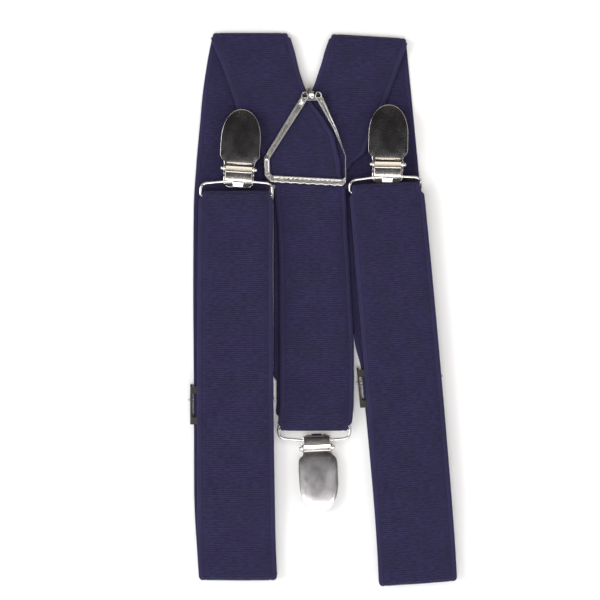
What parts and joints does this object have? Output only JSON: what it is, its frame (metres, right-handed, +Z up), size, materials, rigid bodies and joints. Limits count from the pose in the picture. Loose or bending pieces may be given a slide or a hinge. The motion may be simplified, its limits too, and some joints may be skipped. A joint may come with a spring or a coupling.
{
  "type": "suspenders",
  "caption": "Clip-on Y-back suspenders in ribbed elastic webbing, folded flat, with a hinged metal cross-back clamp, length adjusters and lever-jaw trouser clips.",
  "frame": {"origin": "centre of the folded suspenders' outline, on the surface they lie on", "axes": "+Y from the folded lower ends of the shoulder straps to their top folds, +X across the legs, towards the right front leg as seen from above, +Z up out of the surface"},
  "size_m": [0.1253, 0.2583, 0.0115],
  "materials": {
    "navy_webbing": "navy ribbed elastic webbing with smooth woven edges, matt",
    "nickel": "bright nickel-plated pressed steel and wire",
    "dark_nickel": "polished nickel plate that mirrors a dark room",
    "black_nylon": "moulded black nylon grip pads with cross teeth"
  },
  "bodies": {
    "shoulder_straps": {"left_shoulder_strap": "navy_webbing", "right_shoulder_strap": "navy_webbing", "left_return_ply": "navy_webbing", "right_return_ply": "navy_webbing", "cross_back_frame": "nickel", "cross_hinge_pin": "nickel"},
    "left_front_leg": {"left_lower_fold": "navy_webbing", "left_front_leg": "navy_webbing"},
    "right_front_leg": {"right_lower_fold": "navy_webbing", "right_front_leg": "navy_webbing"},
    "back_strap": {"back_strap": "navy_webbing"},
    "cross_front_frame": {"cross_front_frame": "nickel"},
    "left_bail": {"left_clip_bail": "nickel"},
    "left_clip": {"left_clip_rear_plate": "nickel", "left_clip_lower_grip": "black_nylon", "left_clip_pin": "nickel"},
    "left_jaw": {"left_clip_front_jaw": "dark_nickel", "left_clip_upper_grip": "black_nylon"},
    "left_lever": {"left_clip_lever": "nickel"},
    "right_bail": {"right_clip_bail": "nickel"},
    "right_clip": {"right_clip_rear_plate": "nickel", "right_clip_lower_grip": "black_nylon", "right_clip_pin": "nickel"},
    "right_jaw": {"right_clip_front_jaw": "dark_nickel", "right_clip_upper_grip": "black_nylon"},
    "right_lever": {"right_clip_lever": "nickel"},
    "back_bail": {"back_clip_bail": "nickel"},
    "back_clip": {"back_clip_rear_plate": "nickel", "back_clip_lower_grip": "black_nylon", "back_clip_pin": "nickel"},
    "back_jaw": {"back_clip_front_jaw": "dark_nickel", "back_clip_upper_grip": "black_nylon"},
    "back_lever": {"back_clip_lever": "nickel"},
    "left_adjuster": {"left_adjuster_frame": "nickel"},
    "left_adjuster_lever": {"left_adjuster_lever": "nickel"},
    "right_adjuster": {"right_adjuster_frame": "nickel"},
    "right_adjuster_lever": {"right_adjuster_lever": "nickel"}
  },
  "joints": [
    {"name": "left_leg_fold", "type": "hinge", "parent": "shoulder_straps", "child": "left_front_leg", "pos_m": [-0.0394, -0.1233, 0.0029], "axis": [1, 0, 0], "range_deg": [0, 90], "deforming": ["left_lower_fold"]},
    {"name": "right_leg_fold", "type": "hinge", "parent": "shoulder_straps", "child": "right_front_leg", "pos_m": [0.0443, -0.1249, 0.0029], "axis": [0.9973, 0.0732, 0], "range_deg": [0, 90], "deforming": ["right_lower_fold"]},
    {"name": "back_strap_hinge", "type": "hinge", "parent": "shoulder_straps", "child": "back_strap", "pos_m": [-0.0058, 0.0572, 0.0036], "axis": [-0.9986, 0.0523, 0], "range_deg": [0, 25]},
    {"name": "cross_frame_open", "type": "hinge", "parent": "shoulder_straps", "child": "cross_front_frame", "pos_m": [-0.0053, 0.0999, 0.0061], "axis": [-1, 0, 0], "range_deg": [0, 70]},
    {"name": "left_bail_swing", "type": "hinge", "parent": "left_front_leg", "child": "left_bail", "pos_m": [-0.04, 0.0529, 0.0064], "axis": [1, 0, 0], "range_deg": [0, 60]},
    {"name": "left_clip_swing", "type": "hinge", "parent": "left_bail", "child": "left_clip", "pos_m": [-0.0392, 0.0595, 0.0064], "axis": [0.9979, -0.0645, 0], "range_deg": [0, 45]},
    {"name": "left_lever_flip", "type": "hinge", "parent": "left_clip", "child": "left_lever", "pos_m": [-0.03884, 0.06509, 0.0099], "axis": [-0.9979, 0.0645, 0], "range_deg": [0, 110]},
    {"name": "left_jaw_open", "type": "hinge", "parent": "left_clip", "child": "left_jaw", "pos_m": [-0.03901, 0.06249, 0.007], "axis": [0.9979, -0.0645, 0], "range_deg": [0, 10]},
    {"name": "right_bail_swing", "type": "hinge", "parent": "right_front_leg", "child": "right_bail", "pos_m": [0.0294, 0.055, 0.0064], "axis": [0.999, 0.0436, 0], "range_deg": [0, 45]},
    {"name": "right_clip_swing", "type": "hinge", "parent": "right_bail", "child": "right_clip", "pos_m": [0.03011, 0.06164, 0.0064], "axis": [0.9998, -0.0209, 0], "range_deg": [0, 45]},
    {"name": "right_lever_flip", "type": "hinge", "parent": "right_clip", "child": "right_lever", "pos_m": [0.03023, 0.06724, 0.0099], "axis": [-0.9998, 0.0209, 0], "range_deg": [0, 110]},
    {"name": "right_jaw_open", "type": "hinge", "parent": "right_clip", "child": "right_jaw", "pos_m": [0.03017, 0.06464, 0.007], "axis": [0.9998, -0.0209, 0], "range_deg": [0, 10]},
    {"name": "back_bail_swing", "type": "hinge", "parent": "back_strap", "child": "back_bail", "pos_m": [-0.0039, -0.0544, 0.0023], "axis": [-1, 0, 0], "range_deg": [0, 60]},
    {"name": "back_clip_swing", "type": "hinge", "parent": "back_bail", "child": "back_clip", "pos_m": [-0.0027, -0.061, 0.0023], "axis": [-0.999, -0.0454, 0], "range_deg": [0, 45]},
    {"name": "back_lever_flip", "type": "hinge", "parent": "back_clip", "child": "back_lever", "pos_m": [-0.00255, -0.0644, 0.0058], "axis": [0.999, 0.0454, 0], "range_deg": [0, 110]},
    {"name": "back_jaw_open", "type": "hinge", "parent": "back_clip", "child": "back_jaw", "pos_m": [-0.00256, -0.064, 0.0029], "axis": [-0.999, -0.0454, 0], "range_deg": [0, 10]},
    {"name": "left_adjuster_slide", "type": "slide", "parent": "shoulder_straps", "child": "left_adjuster", "axis": [0, -1, 0], "range_m": [0, 0.02], "deforming": ["left_return_ply"]},
    {"name": "left_adjuster_lever_flip", "type": "hinge", "parent": "left_adjuster", "child": "left_adjuster_lever", "pos_m": [-0.0422, -0.0422, 0.00072], "axis": [1, 0, 0], "range_deg": [0, 75]},
    {"name": "right_adjuster_slide", "type": "slide", "parent": "shoulder_straps", "child": "right_adjuster", "axis": [0.0906, -0.9959, 0], "range_m": [0, 0.02], "deforming": ["right_return_ply"]},
    {"name": "right_adjuster_lever_flip", "type": "hinge", "parent": "right_adjuster", "child": "right_adjuster_lever", "pos_m": [0.03582, -0.03281, 0.00072], "axis": [0.9959, 0.0906, 0], "range_deg": [0, 75]}
  ],
  "couplings": [
    {"joint": "left_jaw_open", "follows": "left_lever_flip", "ratio": 0.090909},
    {"joint": "right_jaw_open", "follows": "right_lever_flip", "ratio": 0.090909},
    {"joint": "back_jaw_open", "follows": "back_lever_flip", "ratio": 0.090909}
  ]
}
